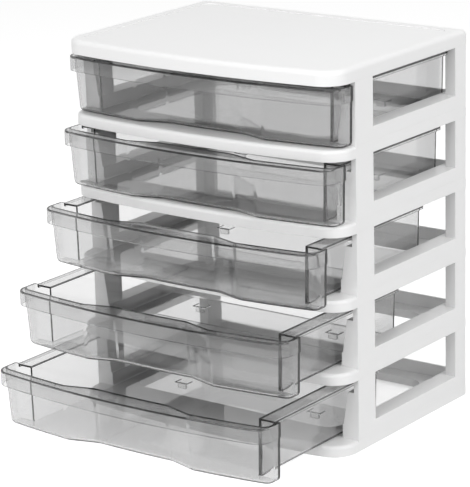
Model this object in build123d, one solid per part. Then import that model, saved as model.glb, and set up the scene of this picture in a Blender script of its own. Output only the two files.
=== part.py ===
from build123d import *
import os
from math import sqrt

# Desktop tower of five drawers. Millimetres, +X to the right, +Z up, drawers open towards -Y.
# The origin is the middle of the foot's back edge. Levels are counted from the top.
# Depths are measured from the tower's back face, heights from the foot of a level's tray.

# ---------------------------------------------------------------- tower
LEVELS = 5
LEVEL_PITCH = 60.0              # from one tray's foot to the next
TOWER_WIDTH = 266.5
FRAME_WALL = 2.4                # skirts and plates of the white mouldings
BOW_RADIUS = 850.0              # bow of every front edge, seen from above
FRONT_CORNER_RADIUS = 20.0
BACK_CORNER_RADIUS = 5.0
BODY_RANGE = (-500.0, 500.0)    # wide enough to cut across the whole tower
OVERSHOOT = 1.0                 # how far cutting bodies run past a face
NEAR = 0.01                     # points this close stand at the same place

# ---------------------------------------------------------------- trays
TRAY_HEIGHT = 9.3
TRAY_FRONT = 197.5              # depth of the middle of the front edge
TRAY_NOSE_RADIUS = 3.0
CUTOUT_SIDE = 31.0              # from the tower's side to the cut-out
CUTOUT_BACK = 16.5
CUTOUT_FRONT = 40.5             # from the cut-out to the middle of the front edge
CUTOUT_RADIUS = 15.0
CUTOUT_RIM_WALL = 2.0
CUTOUT_RIM_DEPTH = 4.5          # how far the rim turns down under the floor plate
UPSTAND_HEIGHT = 10.7
UPSTAND_WALL = 2.0

# ---------------------------------------------------------------- top cover
COVER_HEIGHT = 12.0
COVER_OVERHANG = 4.5            # past the trays' front edges
COVER_EDGE_RADIUS = 4.0
COVER_RIM_WIDTH = 11.0
COVER_RIM_HEIGHT = 0.8

# ---------------------------------------------------------------- side frames
LEDGE_DEPTH = 32.2              # from the trays' front edges back to the front posts
RAIL_WIDTH = 15.5
RAIL_HEIGHT = 11.2
POST_THICKNESS = 9.5
FRONT_POST_DEPTH = 24.3
BACK_POST_DEPTH = 19.8
PAD_DEPTH = 18.3                # guide pad on the inner side of the front post
PAD_THICKNESS_FOOT = 6.5
PAD_THICKNESS_HEAD = 0.8
NOTCH_WALL = 4.5                # what the notch for the flange leaves of the front post
NOTCH_ROOM = 6.0                # from the notch's foot up to the flange
PEG_RADIUS = 1.5
PEG_SIDE = 2.7                  # from the tower's side to the pegs' axes
PEG_LENGTH = 4.0
PEG_CLEARANCE = 0.15

# ---------------------------------------------------------------- drawers
DRAWER_WALL = 1.8
DRAWER_LIFT = 0.3               # gap between a drawer's bottom and its tray
DRAWER_HEADROOM = 2.5           # gap between a drawer's top and what is above it
CLOSED_GAP = 2.0                # gap between a closed front's back edge and the front posts
PULLS = (0.0, 11.0, 37.5, 75.0, 103.0)  # how far each drawer stands open, top level first

LIP_SIDE_GAP = 0.7              # from the tower's side to the lip's end
LIP_OVERHANG = 0.6              # past the front's ends
LIP_DEPTH = 33.7                # from the front's back edge to the middle of the bow
LIP_CORNER = 12.0
SKIRT_HEIGHT = 12.0
LIP_EDGE_RADIUS = 0.8

FRONT_DEPTH = 26.7              # from its back edge to the middle of the bow, recess left out
FRONT_DRAFT = 3.8               # how far the bow draws in down to the bottom
SIDE_DRAFT = 1.0                # how far each end draws in down to the bottom
FRONT_CORNER = 8.0
FRONT_RUN = 20.0                # how far its body runs back before it is cut square
FRONT_BOTTOM_RADIUS = 4.0
RECESS_DEPTH = 9.0
RECESS_HALF_WIDTH = 36.0
RECESS_BEND = 26.0              # width of each slope beside the recess
RECESS_CREASE = 7.0             # radius where the slopes meet the bow and the recess

BIN_SIDE_GAP = 2.0              # from the foot of a guide pad to the bin
BIN_BACK_GAP = 4.5              # from the tray's upstand to a closed drawer's back wall
BIN_DRAFT = 0.8
BIN_CORNER = 3.0
BIN_BOTTOM_RADIUS = 2.8
BIN_OVERLAP = 8.0               # how far the bin reaches into the front

FLANGE_SIDE_GAP = 0.7           # from the flange to the notch's wall
FLANGE_BACK_GAP = 0.9           # from a closed drawer's flange to the back post
FLANGE_EDGE = 3.0               # height of the flange's turned-down edge
FLANGE_TAIL_RADIUS = 3.5

TONGUE_SPACING = 135.0          # between the middles of the two stop tongues
TONGUE_WIDTH = 13.0
TONGUE_LENGTH = 9.0
TONGUE_BACK = 16.2              # from the hinge line to the bin's back wall, at the bottom
TONGUE_SLOT = 1.2
HOOK_DROP = 4.5
HOOK_THICKNESS = 2.6
HOOK_WIDTH = 8.0

# ---------------------------------------------------------------- worked out
HALF_WIDTH = TOWER_WIDTH / 2
COVER_FRONT = TRAY_FRONT + COVER_OVERHANG
COVER_FOOT = LEVELS * LEVEL_PITCH
CUTOUT_WIDTH = TOWER_WIDTH - 2 * CUTOUT_SIDE
CUTOUT_DEPTH = TRAY_FRONT - CUTOUT_FRONT - CUTOUT_BACK
POST_INNER = HALF_WIDTH - POST_THICKNESS
RAIL_INNER = HALF_WIDTH - RAIL_WIDTH
NOTCH_OUTER = HALF_WIDTH - NOTCH_WALL
FRONT_POST_FACE = TRAY_FRONT - LEDGE_DEPTH
PEG_X = HALF_WIDTH - PEG_SIDE
FRONT_PEG_Y = -FRONT_POST_FACE + FRONT_POST_DEPTH / 2
BACK_PEG_Y = -BACK_POST_DEPTH / 2
DRAWER_FOOT = TRAY_HEIGHT + DRAWER_LIFT
DRAWER_TOP = LEVEL_PITCH - DRAWER_HEADROOM
DRAWER_HEIGHT = DRAWER_TOP - DRAWER_FOOT
NOTCH_FOOT = DRAWER_TOP - FLANGE_EDGE - NOTCH_ROOM
CLOSED_BACK_EDGE = FRONT_POST_FACE + CLOSED_GAP
LIP_HALF_WIDTH = HALF_WIDTH - LIP_SIDE_GAP
FRONT_HALF_WIDTH = LIP_HALF_WIDTH - LIP_OVERHANG
BIN_HALF_WIDTH = POST_INNER - PAD_THICKNESS_FOOT - BIN_SIDE_GAP
BIN_LENGTH = CLOSED_BACK_EDGE - UPSTAND_WALL - BIN_BACK_GAP
FLANGE_OUTER = NOTCH_OUTER - FLANGE_SIDE_GAP
FLANGE_LENGTH = CLOSED_BACK_EDGE - BACK_POST_DEPTH - FLANGE_BACK_GAP


# ---------------------------------------------------------------- plans
def bow_y(front, x):
    """Depth of a bowed front edge at x, when its middle stands at -front."""
    return -front + BOW_RADIUS - sqrt(BOW_RADIUS ** 2 - x ** 2)


def body_plan(front, inset=0.0):
    """Outline of the cover and the trays: bowed front, rounded corners, straight back."""
    half = HALF_WIDTH - inset
    back = -inset
    corner = bow_y(front - inset, half)
    with BuildSketch() as plan:
        with BuildLine():
            ThreePointArc((-half, corner), (0, -front + inset), (half, corner))
            Polyline((half, corner), (half, back), (-half, back), (-half, corner))
        make_face()
        fillet(plan.vertices().group_by(Axis.Y)[-1], BACK_CORNER_RADIUS - inset)
        fillet(plan.vertices().group_by(Axis.Y)[0], FRONT_CORNER_RADIUS - inset)
    return plan.sketch


def lip_plan(inset=0.0, back=0.0):
    """Outline of a drawer's lip: bowed front, rounded corners, open towards the bin."""
    half = LIP_HALF_WIDTH - inset
    corner = bow_y(LIP_DEPTH - inset, half)
    with BuildSketch() as plan:
        with BuildLine():
            ThreePointArc((-half, corner), (0, -LIP_DEPTH + inset), (half, corner))
            Polyline((half, corner), (half, back), (-half, back), (-half, corner))
        make_face()
        fillet(plan.vertices().group_by(Axis.Y)[0], LIP_CORNER - inset)
    return plan.sketch


def front_plan(z, inset=0.0):
    """Outline of a drawer's front at height z: bow, finger recess with two slopes, long back."""
    fall = (DRAWER_TOP - z) / DRAWER_HEIGHT
    half = FRONT_HALF_WIDTH - SIDE_DRAFT * fall - inset
    front = FRONT_DEPTH - FRONT_DRAFT * fall - inset
    recess = front - RECESS_DEPTH
    inner = RECESS_HALF_WIDTH
    outer = inner + RECESS_BEND
    middle = (outer + half) / 2
    with BuildSketch() as plan:
        with BuildLine():
            Polyline((-half, bow_y(front, half)), (-half, FRONT_RUN),
                     (half, FRONT_RUN), (half, bow_y(front, half)))
            for side in (-1, 1):
                ThreePointArc((side * outer, bow_y(front, outer)),
                              (side * middle, bow_y(front, middle)),
                              (side * half, bow_y(front, half)))
                Line((side * outer, bow_y(front, outer)), (side * inner, bow_y(recess, inner)))
            ThreePointArc((-inner, bow_y(recess, inner)), (0, -recess), (inner, bow_y(recess, inner)))
        make_face()
        creases = [v for v in plan.vertices() if abs(v.X) < outer + NEAR]
        fillet(creases, RECESS_CREASE)
        corners = [v for v in plan.vertices() if abs(v.X) > half - NEAR and v.Y < 0]
        fillet(corners, FRONT_CORNER - inset)
    return plan.sketch


def bin_plan(z, inset=0.0):
    """Outline of a drawer's bin at height z, from inside the front to the back wall."""
    draft = BIN_DRAFT * (DRAWER_TOP - z) / DRAWER_HEIGHT + inset
    half = BIN_HALF_WIDTH - draft
    back = BIN_LENGTH - draft
    with BuildSketch() as plan:
        with BuildLine():
            Polyline((-half, -BIN_OVERLAP), (half, -BIN_OVERLAP),
                     (half, back), (-half, back), close=True)
        make_face()
        fillet(plan.vertices().group_by(Axis.Y)[-1], BIN_CORNER - inset)
    return plan.sketch


# ---------------------------------------------------------------- helpers
def slab(plan, low, high):
    """A plan raised from height low to height high."""
    return extrude(Pos(0, 0, low) * plan, high - low)


def block(x, y, z):
    """A box from its three (low, high) ranges."""
    size = (x[1] - x[0], y[1] - y[0], z[1] - z[0])
    centre = ((x[0] + x[1]) / 2, (y[0] + y[1]) / 2, (z[0] + z[1]) / 2)
    return Pos(*centre) * Box(*size)


def mirrored(shape):
    """The same shape on the other side of the tower's middle plane."""
    return mirror(shape, Plane.YZ)


def peg(x, y, low, high, clearance=0.0):
    """A peg, or with a clearance its socket, between two heights."""
    return Pos(x, y, (low + high) / 2) * Cylinder(PEG_RADIUS + clearance, high - low)


def peg_places():
    """The four places where posts plug into the trays and the cover."""
    return [(side * PEG_X, y) for side in (-1, 1) for y in (FRONT_PEG_Y, BACK_PEG_Y)]


def bosses(low, high):
    """Solid feet and heads over the four posts."""
    reach = (POST_INNER, HALF_WIDTH - FRAME_WALL / 2)
    front = block(reach, (-FRONT_POST_FACE, -FRONT_POST_FACE + FRONT_POST_DEPTH), (low, high))
    back = block(reach, (-BACK_POST_DEPTH, -FRAME_WALL / 2), (low, high))
    return [front, back, mirrored(front), mirrored(back)]


# ---------------------------------------------------------------- white frame
def make_cover():
    """Shallow upside-down tray with rounded upper edges and a raised rim."""
    shell = slab(body_plan(COVER_FRONT), 0, COVER_HEIGHT)
    shell = fillet(shell.faces().sort_by(Axis.Z)[-1].edges(), COVER_EDGE_RADIUS)
    field_floor = COVER_HEIGHT - COVER_RIM_HEIGHT
    shell -= slab(cover_field(), field_floor, COVER_HEIGHT)
    shell -= slab(body_plan(COVER_FRONT, FRAME_WALL), 0, field_floor - FRAME_WALL)
    shell += bosses(0, field_floor - FRAME_WALL)
    for x, y in peg_places():
        shell -= peg(x, y, 0, PEG_LENGTH + OVERSHOOT, PEG_CLEARANCE)
    return Pos(0, 0, COVER_FOOT) * shell


def cover_field():
    """The sunken field inside the cover's rim."""
    inset = COVER_RIM_WIDTH
    half = HALF_WIDTH - inset
    front = COVER_FRONT - inset
    corner = bow_y(front, half)
    with BuildSketch() as plan:
        with BuildLine():
            ThreePointArc((-half, corner), (0, -front), (half, corner))
            Polyline((half, corner), (half, -inset), (-half, -inset), (-half, corner))
        make_face()
        fillet(plan.vertices(), FRONT_CORNER_RADIUS - inset)
    return plan.sketch


def make_tray(foot):
    """Shelf with a bowed rounded nose, a cut-out with a turned-down rim and a back upstand."""
    whole = slab(body_plan(TRAY_FRONT), 0, TRAY_HEIGHT)
    nose = fillet(whole.faces().sort_by(Axis.Z)[-1].edges(), TRAY_NOSE_RADIUS)
    nose &= block(BODY_RANGE, (BODY_RANGE[0], -FRONT_POST_FACE), BODY_RANGE)
    rear = whole & block(BODY_RANGE, (-FRONT_POST_FACE, BODY_RANGE[1]), BODY_RANGE)
    plate_foot = TRAY_HEIGHT - FRAME_WALL
    shell = nose + rear - slab(body_plan(TRAY_FRONT, FRAME_WALL), 0, plate_foot)
    shell += bosses(0, plate_foot)
    shell += slab(cutout_plan(CUTOUT_RIM_WALL), plate_foot - CUTOUT_RIM_DEPTH, plate_foot)
    shell -= slab(cutout_plan(), 0, TRAY_HEIGHT)
    upstand_top = TRAY_HEIGHT + UPSTAND_HEIGHT
    shell += block((-RAIL_INNER, RAIL_INNER), (-UPSTAND_WALL, 0), (plate_foot, upstand_top))
    for x, y in peg_places():
        shell -= peg(x, y, 0, TRAY_HEIGHT, PEG_CLEARANCE)
    return Pos(0, 0, foot) * shell


def cutout_plan(margin=0.0):
    """The large rounded cut-out in a tray's floor, or its rim with a margin."""
    width = CUTOUT_WIDTH + 2 * margin
    depth = CUTOUT_DEPTH + 2 * margin
    centre = -CUTOUT_BACK - CUTOUT_DEPTH / 2
    return Pos(0, centre, 0) * RectangleRounded(width, depth, CUTOUT_RADIUS + margin)


def make_right_side(foot):
    """Side frame: rail, front post with pad and notch, back post and pegs."""
    base = TRAY_HEIGHT
    post_y = (-FRONT_POST_FACE, -FRONT_POST_FACE + FRONT_POST_DEPTH)
    rail = block((RAIL_INNER, HALF_WIDTH), (-FRONT_POST_FACE, 0), (base, base + RAIL_HEIGHT))
    front_post = block((POST_INNER, HALF_WIDTH), post_y, (base, LEVEL_PITCH))
    front_post -= block((POST_INNER, NOTCH_OUTER), post_y, (NOTCH_FOOT, LEVEL_PITCH))
    back_post = block((POST_INNER, HALF_WIDTH), (-BACK_POST_DEPTH, 0), (base, LEVEL_PITCH))
    side = rail + front_post + back_post + make_pad(base)
    side &= slab(body_plan(TRAY_FRONT), base, LEVEL_PITCH)
    for y in (FRONT_PEG_Y, BACK_PEG_Y):
        side += peg(PEG_X, y, base - PEG_LENGTH, LEVEL_PITCH + PEG_LENGTH)
    return Pos(0, 0, foot) * side


def make_pad(base):
    """Guide pad on the front post, thinner towards its head."""
    with BuildSketch(Plane.XZ) as profile:
        with BuildLine():
            Polyline((POST_INNER, base), (POST_INNER - PAD_THICKNESS_FOOT, base),
                     (POST_INNER - PAD_THICKNESS_HEAD, NOTCH_FOOT), (POST_INNER, NOTCH_FOOT),
                     close=True)
        make_face()
    return Pos(0, -FRONT_POST_FACE + PAD_DEPTH, 0) * extrude(profile.sketch, PAD_DEPTH)


# ---------------------------------------------------------------- drawers
def tapered(plan, low, high, inset, radius):
    """A drafted body between two heights with its bottom edges rounded."""
    body = loft([Pos(0, 0, low) * plan(low, inset), Pos(0, 0, high) * plan(high, inset)], ruled=True)
    return fillet(body.faces().sort_by(Axis.Z)[0].edges(), radius)


def front_body(low, high, inset, radius):
    """The front or its hollow, cut square at its back edge."""
    body = tapered(front_plan, low, high, inset, radius)
    return body & block(BODY_RANGE, (BODY_RANGE[0], -inset), BODY_RANGE)


def make_hollow():
    """What the drawer holds: the bin's inside joined with the front's inside."""
    floor = DRAWER_FOOT + DRAWER_WALL
    high = DRAWER_TOP + OVERSHOOT
    front = front_body(floor, high, DRAWER_WALL, FRONT_BOTTOM_RADIUS - DRAWER_WALL)
    return front + tapered(bin_plan, floor, high, DRAWER_WALL, BIN_BOTTOM_RADIUS - DRAWER_WALL)


def make_lip():
    """The lip's top plate and the skirt that hangs from its outer edge."""
    skirt_foot = DRAWER_TOP - SKIRT_HEIGHT
    plate = slab(lip_plan(), DRAWER_TOP - DRAWER_WALL, DRAWER_TOP)
    outer = slab(lip_plan(), skirt_foot, DRAWER_TOP)
    inner = slab(lip_plan(DRAWER_WALL, OVERSHOOT), skirt_foot, DRAWER_TOP)
    lip = plate + (outer - inner)
    top_edges = lip.faces().sort_by(Axis.Z)[-1].edges()
    rounded = [e for e in top_edges if e.bounding_box().min.Y < -DRAWER_WALL]
    return fillet(rounded, LIP_EDGE_RADIUS)


def make_flange():
    """The flange along the right side, with its turned-down edge."""
    inner = BIN_HALF_WIDTH - DRAWER_WALL
    plate = slab(flange_plan(inner), DRAWER_TOP - DRAWER_WALL, DRAWER_TOP)
    edge = slab(flange_plan(inner), DRAWER_TOP - FLANGE_EDGE, DRAWER_TOP)
    edge -= block((0, FLANGE_OUTER - DRAWER_WALL), (-DRAWER_WALL, FLANGE_LENGTH - DRAWER_WALL),
                  BODY_RANGE)
    return plate + edge


def flange_plan(inner):
    """Outline of a flange with its rounded tail, from inside the bin's wall."""
    with BuildSketch() as plan:
        with BuildLine():
            Polyline((inner, -DRAWER_WALL), (FLANGE_OUTER, -DRAWER_WALL),
                     (FLANGE_OUTER, FLANGE_LENGTH), (inner, FLANGE_LENGTH), close=True)
        make_face()
        tail = plan.vertices().group_by(Axis.X)[-1].sort_by(Axis.Y)[-1]
        fillet(tail, FLANGE_TAIL_RADIUS)
    return plan.sketch


def tongue_front():
    """Where the stop tongues' free ends stand, behind the front's back edge."""
    return BIN_LENGTH - BIN_DRAFT - TONGUE_BACK - TONGUE_LENGTH


def cut_tongue(drawer, x):
    """Free a stop tongue with a slot round three sides and hang its hook underneath."""
    front = tongue_front()
    back = front + TONGUE_LENGTH
    band = (DRAWER_FOOT - OVERSHOOT, DRAWER_FOOT + DRAWER_WALL + OVERSHOOT)
    slot = block((x - TONGUE_WIDTH / 2, x + TONGUE_WIDTH / 2), (front, back), band)
    half = TONGUE_WIDTH / 2 - TONGUE_SLOT
    slot -= block((x - half, x + half), (front + TONGUE_SLOT, back), band)
    hook_front = front + TONGUE_SLOT
    hook = block((x - HOOK_WIDTH / 2, x + HOOK_WIDTH / 2),
                 (hook_front, hook_front + HOOK_THICKNESS),
                 (DRAWER_FOOT - HOOK_DROP, DRAWER_FOOT + DRAWER_WALL / 2))
    return drawer - slot + hook


def make_drawer():
    """One whole drawer, its front's back edge at y = 0."""
    front = front_body(DRAWER_FOOT, DRAWER_TOP, 0.0, FRONT_BOTTOM_RADIUS)
    box = tapered(bin_plan, DRAWER_FOOT, DRAWER_TOP, 0.0, BIN_BOTTOM_RADIUS)
    flange = make_flange()
    drawer = front + box + make_lip() + flange + mirrored(flange)
    drawer -= make_hollow()
    for side in (-1, 1):
        drawer = cut_tongue(drawer, side * TONGUE_SPACING / 2)
    return drawer


# ---------------------------------------------------------------- assembly
def tower_parts():
    """Every piece of the tower in place, by name."""
    parts = {"top_panel": make_cover()}
    drawer = make_drawer()
    for level in range(1, LEVELS + 1):
        foot = (LEVELS - level) * LEVEL_PITCH
        right_side = make_right_side(foot)
        parts[f"tray_{level}"] = make_tray(foot)
        parts[f"right_side_{level}"] = right_side
        parts[f"left_side_{level}"] = mirrored(right_side)
        parts[f"drawer_{level}"] = Pos(0, -CLOSED_BACK_EDGE - PULLS[level - 1], foot) * drawer
    return parts


def main():
    """Write one file per piece."""
    os.makedirs("parts", exist_ok=True)
    for name, shape in tower_parts().items():
        export_step(shape, f"parts/{name}.step")


if __name__ == "__main__":
    main()
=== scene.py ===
"""Dresses and lights a desktop tower of five smoky drawers in a white plastic frame."""
from __future__ import annotations

import logging
import math
from dataclasses import dataclass, field
from enum import Enum
from typing import Any

import bmesh
import bpy
from mathutils import Matrix, Vector


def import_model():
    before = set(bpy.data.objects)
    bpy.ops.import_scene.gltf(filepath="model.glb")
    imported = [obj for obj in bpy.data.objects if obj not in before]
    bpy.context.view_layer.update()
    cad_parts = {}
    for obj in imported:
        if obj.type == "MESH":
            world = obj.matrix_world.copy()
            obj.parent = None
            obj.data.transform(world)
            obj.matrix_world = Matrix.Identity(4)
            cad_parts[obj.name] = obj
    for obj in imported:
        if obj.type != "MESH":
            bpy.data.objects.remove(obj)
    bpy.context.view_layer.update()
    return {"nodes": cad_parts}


LOG = logging.getLogger("drawer_tower")

IMAGE_WIDTH = 470
LEVELS = range(1, 6)
MIDDLE = 0.5

Colour = tuple[float, float, float, float]
Place = tuple[float, float, float]
WHITE: Colour = (1.0, 1.0, 1.0, 1.0)


class Operation(Enum):
    """The shader sums that the finishes use."""

    ADD = "ADD"
    SUBTRACT = "SUBTRACT"
    MULTIPLY = "MULTIPLY"
    MAXIMUM = "MAXIMUM"
    POWER = "POWER"


class Value:
    """A number that varies over a surface, with operators that add Math nodes."""

    def __init__(self, graph: Graph, socket: bpy.types.NodeSocket) -> None:
        """Wraps an output socket of a graph."""
        self.graph = graph
        self.socket = socket

    def _sum(self, operation: Operation, first: Any, second: Any) -> Value:
        """Adds one Math node.

        Args:
            operation: The sum to make.
            first: A number or a value.
            second: A number or a value.

        Returns:
            The result as a value.
        """
        node = self.graph.node("ShaderNodeMath", {"operation": operation.value}, {0: first, 1: second})
        return Value(self.graph, node.outputs[0])

    def __add__(self, other: Any) -> Value:
        """Sum."""
        return self._sum(Operation.ADD, self, other)

    def __radd__(self, other: Any) -> Value:
        """Sum with a number on the left."""
        return self._sum(Operation.ADD, other, self)

    def __sub__(self, other: Any) -> Value:
        """Difference."""
        return self._sum(Operation.SUBTRACT, self, other)

    def __rsub__(self, other: Any) -> Value:
        """Difference from a number."""
        return self._sum(Operation.SUBTRACT, other, self)

    def __mul__(self, other: Any) -> Value:
        """Product."""
        return self._sum(Operation.MULTIPLY, self, other)

    def __rmul__(self, other: Any) -> Value:
        """Product with a number on the left."""
        return self._sum(Operation.MULTIPLY, other, self)

    def __pow__(self, other: Any) -> Value:
        """Power."""
        return self._sum(Operation.POWER, self, other)

    def or_more(self, other: Any) -> Value:
        """The larger of the two."""
        return self._sum(Operation.MAXIMUM, self, other)


class Graph:
    """The node tree of one material or world."""

    def __init__(self, owner: bpy.types.Material | bpy.types.World) -> None:
        """Empties the owner's node tree and keeps it."""
        owner.use_nodes = True
        self.tree = owner.node_tree
        self.tree.nodes.clear()

    def node(self, kind: str, settings: dict[str, Any] | None = None,
             sockets: dict[Any, Any] | None = None) -> bpy.types.Node:
        """Adds a node.

        Args:
            kind: The node's type name.
            settings: Its properties, set first.
            sockets: Values or links of its inputs, by name or number.

        Returns:
            The new node.
        """
        made = self.tree.nodes.new(kind)
        for name, setting in (settings or {}).items():
            setattr(made, name, setting)
        for name, given in (sockets or {}).items():
            self.feed(made.inputs[name], given)
        return made

    def feed(self, socket: bpy.types.NodeSocket, given: Any) -> None:
        """Links a value or an output to an input, or sets its number.

        Args:
            socket: The input to feed.
            given: A Value, an output socket or a plain value.
        """
        if isinstance(given, Value):
            self.tree.links.new(given.socket, socket)
        elif isinstance(given, bpy.types.NodeSocket):
            self.tree.links.new(given, socket)
        else:
            socket.default_value = given

    def place(self) -> bpy.types.NodeSocket:
        """The surface point in the object's own frame."""
        return self.node("ShaderNodeTexCoord").outputs["Object"]

    def noise(self, scale: float, detail: float = 3.0) -> Value:
        """Soft noise around one half.

        Args:
            scale: Cells in a metre.
            detail: Octaves.

        Returns:
            The noise.
        """
        made = self.node("ShaderNodeTexNoise", None,
                         {"Vector": self.place(), "Scale": scale, "Detail": detail})
        return Value(self, made.outputs[0])

    def drift(self, scale: float, middle: float, reach: float) -> Value:
        """A number that wanders a little over a surface.

        Args:
            scale: Cells in a metre.
            middle: The number it wanders around.
            reach: How far it wanders.

        Returns:
            The wandering number.
        """
        return middle + (self.noise(scale) - MIDDLE) * reach

    def output(self, kind: str, surface: bpy.types.NodeSocket,
               volume: bpy.types.NodeSocket | None = None) -> None:
        """Closes the graph.

        Args:
            kind: Material or World.
            surface: The shader to show.
            volume: What fills the solid, if anything.
        """
        end = self.node(f"ShaderNodeOutput{kind}", None, {"Surface": surface})
        if volume is not None:
            self.feed(end.inputs["Volume"], volume)


# ---------------------------------------------------------------- finishes
@dataclass(frozen=True)
class WhitePlastic:
    """Opaque white moulded plastic with a soft sheen and a faint grain."""

    name: str = "white_plastic"
    index: float = 1.49
    shade: float = 0.86
    shade_drift: float = 0.012
    shade_scale: float = 9.0
    roughness: float = 0.36
    roughness_drift: float = 0.06
    roughness_scale: float = 60.0
    grain_scale: float = 1400.0
    grain_depth: float = 0.00002
    grain_strength: float = 0.35
    edge_radius: float = 0.0004
    edge_samples: int = 6

    def build(self) -> bpy.types.Material:
        """The finished material."""
        material = bpy.data.materials.new(self.name)
        graph = Graph(material)
        level = graph.drift(self.shade_scale, self.shade, self.shade_drift)
        colour = graph.node("ShaderNodeCombineColor", {"mode": "RGB"}, {0: level, 1: level, 2: level})
        edge = graph.node("ShaderNodeBevel", {"samples": self.edge_samples}, {"Radius": self.edge_radius})
        bump = graph.node("ShaderNodeBump", None, {
            "Height": graph.noise(self.grain_scale),
            "Distance": self.grain_depth,
            "Strength": self.grain_strength,
            "Normal": edge.outputs[0],
        })
        surface = graph.node("ShaderNodeBsdfPrincipled", None, {
            "Base Color": colour.outputs[0],
            "Roughness": graph.drift(self.roughness_scale, self.roughness, self.roughness_drift),
            "IOR": self.index,
            "Normal": bump.outputs[0],
        })
        graph.output("Material", surface.outputs[0])
        return material


@dataclass(frozen=True)
class SmokyPlastic:
    """Clear smoky moulded plastic that darkens with the way light goes through it, with painted shade
    mixed in at its rims where it is seen at a flat angle.
    """

    name: str = "smoky_plastic"
    index: float = 1.5
    roughness: float = 0.025
    tint: Colour = (0.99, 0.99, 0.99, 1.0)
    smoke: Colour = (0.02, 0.02, 0.025, 1.0)
    density: float = 115.0
    shadow: Colour = (0.92, 0.92, 0.92, 1.0)
    # painted shade at the rims: colour, roughness, gloss and power of a near-black plastic mixed in at
    # flat viewing angles
    painted_rim_shade_colour: Colour = (0.015, 0.015, 0.017, 1.0)
    painted_rim_shade_roughness: float = 0.5
    painted_rim_shade_gloss: float = 0.1
    painted_rim_shade_power: float = 7.0
    ripple_scale: float = 26.0
    ripple_detail: float = 1.0
    ripple_depth: float = 0.00012
    ripple_strength: float = 0.5

    def build(self) -> bpy.types.Material:
        """The finished material."""
        material = bpy.data.materials.new(self.name)
        graph = Graph(material)
        surface = graph.node("ShaderNodeMixShader", None, {
            0: graph.node("ShaderNodeLightPath").outputs["Is Shadow Ray"],
            1: self.body(graph),
            2: graph.node("ShaderNodeBsdfTransparent", None, {"Color": self.shadow}).outputs[0],
        })
        volume = graph.node("ShaderNodeVolumeAbsorption", None,
                            {"Color": self.smoke, "Density": self.density})
        graph.output("Material", surface.outputs[0], volume.outputs[0])
        return material

    def body(self, graph: Graph) -> bpy.types.NodeSocket:
        """What is seen of the plastic.

        Args:
            graph: The material's graph.

        Returns:
            Clear plastic with a near-black plastic mixed in where it is seen at a flat angle, as painted
            shade at the rims.
        """
        bump = graph.node("ShaderNodeBump", None, {
            "Height": graph.noise(self.ripple_scale, self.ripple_detail),
            "Distance": self.ripple_depth,
            "Strength": self.ripple_strength,
        })
        clear = graph.node("ShaderNodeBsdfPrincipled", None, {
            "Base Color": self.tint,
            "Roughness": self.roughness,
            "IOR": self.index,
            "Transmission Weight": 1.0,
            "Normal": bump.outputs[0],
        })
        # painted shade: a near-black plastic stands in for the dark rims that light going through the
        # thick edges makes
        painted_rim_shade_bsdf = graph.node("ShaderNodeBsdfPrincipled", None, {
            "Base Color": self.painted_rim_shade_colour,
            "Roughness": self.painted_rim_shade_roughness,
            "Specular IOR Level": self.painted_rim_shade_gloss,
        })
        # mask of the painted rim shade: the facing term raised to a power
        weight = graph.node("ShaderNodeLayerWeight", None, {"Blend": MIDDLE})
        painted_rim_shade = Value(graph, weight.outputs["Facing"]) ** self.painted_rim_shade_power
        mixed = graph.node("ShaderNodeMixShader", None, {0: painted_rim_shade, 1: clear.outputs[0], 2: painted_rim_shade_bsdf.outputs[0]})
        return mixed.outputs[0]


# ---------------------------------------------------------------- sub-assemblies
def dress(node: bpy.types.Object, material: bpy.types.Material) -> None:
    """Gives a carried-over piece its finish.

    Args:
        node: The piece.
        material: Its finish.
    """
    node.data.materials.clear()
    node.data.materials.append(material)


@dataclass
class WhiteFrame:
    """The cover, the trays and the side frames."""

    nodes: dict[str, bpy.types.Object]
    finish: WhitePlastic = field(default_factory=WhitePlastic)

    def names(self) -> list[str]:
        """The pieces of the white frame, top down."""
        stack = [f"{kind}_{level}" for level in LEVELS for kind in ("tray", "left_side", "right_side")]
        return ["top_panel", *stack]

    def build(self) -> None:
        """Dresses every white piece."""
        material = self.finish.build()
        for name in self.names():
            dress(self.nodes[name], material)
            LOG.info("dressed %s", name)


@dataclass
class DrawerStack:
    """The five smoky drawers."""

    nodes: dict[str, bpy.types.Object]
    finish: SmokyPlastic = field(default_factory=SmokyPlastic)

    def build(self) -> None:
        """Dresses every drawer."""
        material = self.finish.build()
        for level in LEVELS:
            name = f"drawer_{level}"
            dress(self.nodes[name], material)
            LOG.info("dressed %s", name)


# ---------------------------------------------------------------- studio
@dataclass(frozen=True)
class Lamp:
    """A square soft lamp: its name, where it hangs, its side in metres and its power in watts."""

    name: str
    place: Place
    size: float
    watts: float

    def build(self, target: Place) -> None:
        """Hangs the lamp.

        Args:
            target: The point it is aimed at.
        """
        light = bpy.data.lights.new(self.name, "AREA")
        light.size = self.size
        light.energy = self.watts
        holder = bpy.data.objects.new(self.name, light)
        turn = (Vector(target) - Vector(self.place)).to_track_quat("-Z", "Y").to_matrix().to_4x4()
        holder.matrix_world = Matrix.Translation(self.place) @ turn
        bpy.context.scene.collection.objects.link(holder)


LAMPS = (
    Lamp("overhead", (0.3, -0.4, 1.9), 1.2, 10.5),
    Lamp("right_side", (1.7, -0.3, 1.3), 1.0, 12.0),
    Lamp("front", (0.1, -1.9, 0.75), 1.0, 13.0),
)


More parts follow.
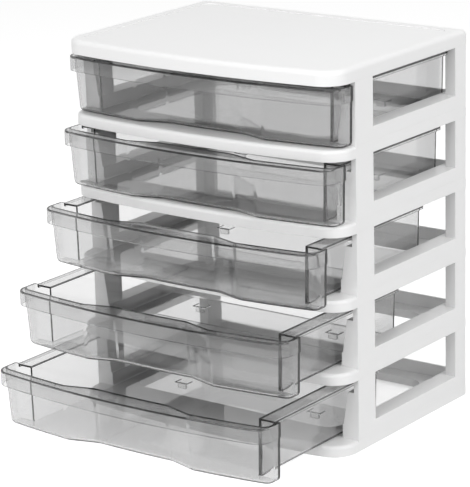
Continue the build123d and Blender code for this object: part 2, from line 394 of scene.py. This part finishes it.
@dataclass
class Studio:
    """Floor, white surroundings, soft lamps and the camera."""

    lamps: tuple[Lamp, ...] = LAMPS
    target: Place = (0.0, -0.1, 0.15)
    floor_half: float = 3.0
    floor_colour: Colour = (0.86, 0.86, 0.86, 1.0)
    floor_glow: float = 0.55
    dome_strength: float = 0.38
    lens_pixels: float = 2534.2
    sensor_mm: float = 36.0
    camera_azimuth: float = 36.611
    camera_height_angle: float = 16.083
    camera_roll: float = -1.425
    camera_place: Place = (1.18115, -1.7339, 0.7178)

    def build(self) -> None:
        """Builds the whole studio."""
        self.world()
        self.floor()
        for lamp in self.lamps:
            lamp.build(self.target)
        self.camera()
        bpy.context.scene.view_settings.view_transform = "Standard"

    def seen(self, graph: Graph) -> Value:
        """One where the ray comes from the camera, or by way of gloss or clear plastic.

        Args:
            graph: The graph to add the test to.

        Returns:
            One or nought.
        """
        path = graph.node("ShaderNodeLightPath")
        camera, gloss, clear = (Value(graph, path.outputs[f"Is {ray} Ray"])
                                for ray in ("Camera", "Glossy", "Transmission"))
        return camera.or_more(gloss).or_more(clear)

    def world(self) -> None:
        """White where it is seen, dimmer where it lights."""
        world = bpy.data.worlds.new("studio")
        bpy.context.scene.world = world
        graph = Graph(world)
        strength = self.dome_strength + self.seen(graph) * (1.0 - self.dome_strength)
        dome = graph.node("ShaderNodeBackground", None, {"Color": WHITE, "Strength": strength})
        graph.output("World", dome.outputs[0])

    def floor(self) -> None:
        """A white floor that keeps the tower's shadow."""
        mesh = bpy.data.meshes.new("floor")
        shape = bmesh.new()
        bmesh.ops.create_grid(shape, x_segments=1, y_segments=1, size=self.floor_half)
        shape.to_mesh(mesh)
        shape.free()
        plate = bpy.data.objects.new("floor", mesh)
        bpy.context.scene.collection.objects.link(plate)
        material = bpy.data.materials.new("floor")
        graph = Graph(material)
        matte = graph.node("ShaderNodeBsdfDiffuse", None, {"Color": self.floor_colour})
        glow = graph.node("ShaderNodeEmission", None,
                          {"Color": WHITE, "Strength": self.seen(graph) * self.floor_glow})
        both = graph.node("ShaderNodeAddShader", None, {0: matte.outputs[0], 1: glow.outputs[0]})
        graph.output("Material", both.outputs[0])
        mesh.materials.append(material)

    def camera(self) -> None:
        """The photograph's view."""
        azimuth, height, roll = (math.radians(angle) for angle in
                                 (self.camera_azimuth, self.camera_height_angle, self.camera_roll))
        back = Vector((math.sin(azimuth) * math.cos(height),
                       -math.cos(azimuth) * math.cos(height),
                       math.sin(height)))
        right = Vector((0, 0, 1)).cross(back).normalized()
        up = back.cross(right)
        rolled_right = right * math.cos(roll) + up * math.sin(roll)
        rolled_up = up * math.cos(roll) - right * math.sin(roll)
        turn = Matrix((rolled_right, rolled_up, back)).transposed().to_4x4()
        lens = bpy.data.cameras.new("camera")
        lens.sensor_fit = "HORIZONTAL"
        lens.sensor_width = self.sensor_mm
        lens.lens = self.lens_pixels * self.sensor_mm / IMAGE_WIDTH
        holder = bpy.data.objects.new("camera", lens)
        holder.matrix_world = Matrix.Translation(self.camera_place) @ turn
        bpy.context.scene.collection.objects.link(holder)
        bpy.context.scene.camera = holder


def main() -> None:
    """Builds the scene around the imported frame."""
    logging.basicConfig(level=logging.INFO)
    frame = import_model()
    WhiteFrame(frame["nodes"]).build()
    DrawerStack(frame["nodes"]).build()
    Studio().build()


if __name__ == "__main__":
    main()
